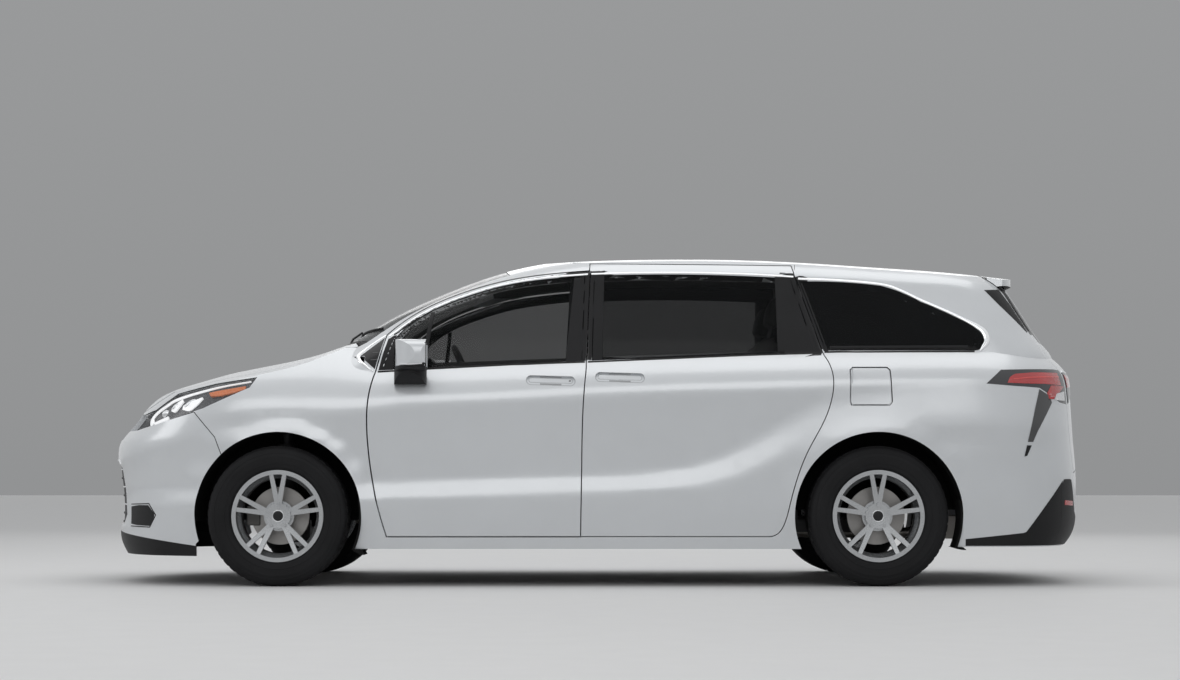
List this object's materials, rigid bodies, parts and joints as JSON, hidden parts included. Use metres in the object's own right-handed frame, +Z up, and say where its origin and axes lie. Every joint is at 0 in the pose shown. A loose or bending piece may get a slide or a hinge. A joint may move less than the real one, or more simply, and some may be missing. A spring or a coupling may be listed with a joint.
{
  "type": "minivan",
  "caption": "Family minivan: hollow body with hinged front doors, bonnet, tailgate and fuel flap, steered front wheels and four turning wheels.",
  "frame": {"origin": "on the ground under the middle of the car's length and width", "axes": "-X towards the nose, +X towards the tail, -Y the car's left side, +Z up; millimetres in the source, metres here"},
  "size_m": [5.1746, 2.248, 1.7389],
  "materials": {
    "paint": "gloss",
    "dark_glass": "gloss",
    "black_plastic": "satin",
    "clear_lamp": "gloss",
    "red_lamp": "gloss",
    "alloy": "satin",
    "tyre": "matte",
    "underbody": "matte",
    "cast_metal": "matte",
    "steel": "satin",
    "radiator_metal": "matte",
    "cabin_plastic": "matte",
    "seat_cloth": "matte"
  },
  "bodies": {
    "body": {"body_side_left": "paint", "body_side_right": "paint", "roof_panel": "paint", "front_fenders": "paint", "front_bumper": "paint", "rear_bumper": "paint", "sliding_door_left": "paint", "sliding_door_right": "paint", "windshield": "dark_glass", "rear_side_glass": "dark_glass", "cowl": "black_plastic", "grille": "black_plastic", "mud_flaps": "black_plastic", "front_lip": "black_plastic", "headlamps": "clear_lamp", "tail_lamps": "red_lamp", "floor_pan": "underbody", "fuel_tank": "underbody", "front_suspension": "cast_metal", "rear_suspension": "cast_metal", "engine": "cast_metal", "exhaust": "steel", "radiator": "radiator_metal", "dashboard": "cabin_plastic", "front_seats": "seat_cloth", "middle_seats": "seat_cloth", "rear_bench": "seat_cloth"},
    "hood": {"hood": "paint"},
    "front_door_left": {"front_door_left": "paint", "front_door_glass_left": "dark_glass", "mirror_left": "paint"},
    "front_door_right": {"front_door_right": "paint", "front_door_glass_right": "dark_glass", "mirror_right": "paint"},
    "liftgate": {"liftgate": "paint", "liftgate_glass": "dark_glass", "spoiler": "paint"},
    "fuel_door": {"fuel_door": "paint"},
    "steering_wheel": {"steering_wheel": "cabin_plastic"},
    "knuckle_left": {"knuckle_left": "cast_metal"},
    "knuckle_right": {"knuckle_right": "cast_metal"},
    "wheel_front_left": {"wheel_front_left": "alloy", "tyre_front_left": "tyre"},
    "wheel_front_right": {"wheel_front_right": "alloy", "tyre_front_right": "tyre"},
    "wheel_rear_left": {"wheel_rear_left": "alloy", "tyre_rear_left": "tyre"},
    "wheel_rear_right": {"wheel_rear_right": "alloy", "tyre_rear_right": "tyre"}
  },
  "joints": [
    {"name": "steer_left", "type": "hinge", "parent": "body", "child": "knuckle_left", "pos_m": [-1.616, -0.786, 0.357], "axis": [0, 0, 1], "range_deg": [-34, 34]},
    {"name": "steer_right", "type": "hinge", "parent": "body", "child": "knuckle_right", "pos_m": [-1.616, 0.786, 0.357], "axis": [0, 0, 1], "range_deg": [-34, 34]},
    {"name": "spin_front_left", "type": "hinge", "parent": "knuckle_left", "child": "wheel_front_left", "pos_m": [-1.616, -0.862, 0.357], "axis": [0, 1, 0], "continuous": true},
    {"name": "spin_front_right", "type": "hinge", "parent": "knuckle_right", "child": "wheel_front_right", "pos_m": [-1.616, 0.862, 0.357], "axis": [0, 1, 0], "continuous": true},
    {"name": "spin_rear_left", "type": "hinge", "parent": "body", "child": "wheel_rear_left", "pos_m": [1.444, -0.862, 0.357], "axis": [0, 1, 0], "continuous": true},
    {"name": "spin_rear_right", "type": "hinge", "parent": "body", "child": "wheel_rear_right", "pos_m": [1.444, 0.862, 0.357], "axis": [0, 1, 0], "continuous": true},
    {"name": "front_door_left_hinge", "type": "hinge", "parent": "body", "child": "front_door_left", "pos_m": [-1.135, -0.966, 0.7], "axis": [0, 0, -1], "range_deg": [0, 66]},
    {"name": "front_door_right_hinge", "type": "hinge", "parent": "body", "child": "front_door_right", "pos_m": [-1.135, 0.966, 0.7], "axis": [0, 0, 1], "range_deg": [0, 66]},
    {"name": "hood_hinge", "type": "hinge", "parent": "body", "child": "hood", "pos_m": [-1.176, 0, 1.256], "axis": [0, 1, 0], "range_deg": [0, 50]},
    {"name": "liftgate_hinge", "type": "hinge", "parent": "body", "child": "liftgate", "pos_m": [2.05, 0, 1.648], "axis": [0, -1, 0], "range_deg": [0, 80]},
    {"name": "fuel_door_hinge", "type": "hinge", "parent": "body", "child": "fuel_door", "pos_m": [1.314, -0.966, 1.02], "axis": [0, 0, -1], "range_deg": [0, 80]},
    {"name": "steering_wheel_turn", "type": "hinge", "parent": "body", "child": "steering_wheel", "pos_m": [-0.678, -0.38, 1.088], "axis": [0.9063, 0, 0.4226], "range_deg": [-510, 510]}
  ],
  "couplings": [
    {"joint": "steer_right", "follows": "steer_left", "ratio": 1},
    {"joint": "steering_wheel_turn", "follows": "steer_left", "ratio": 15}
  ]
}
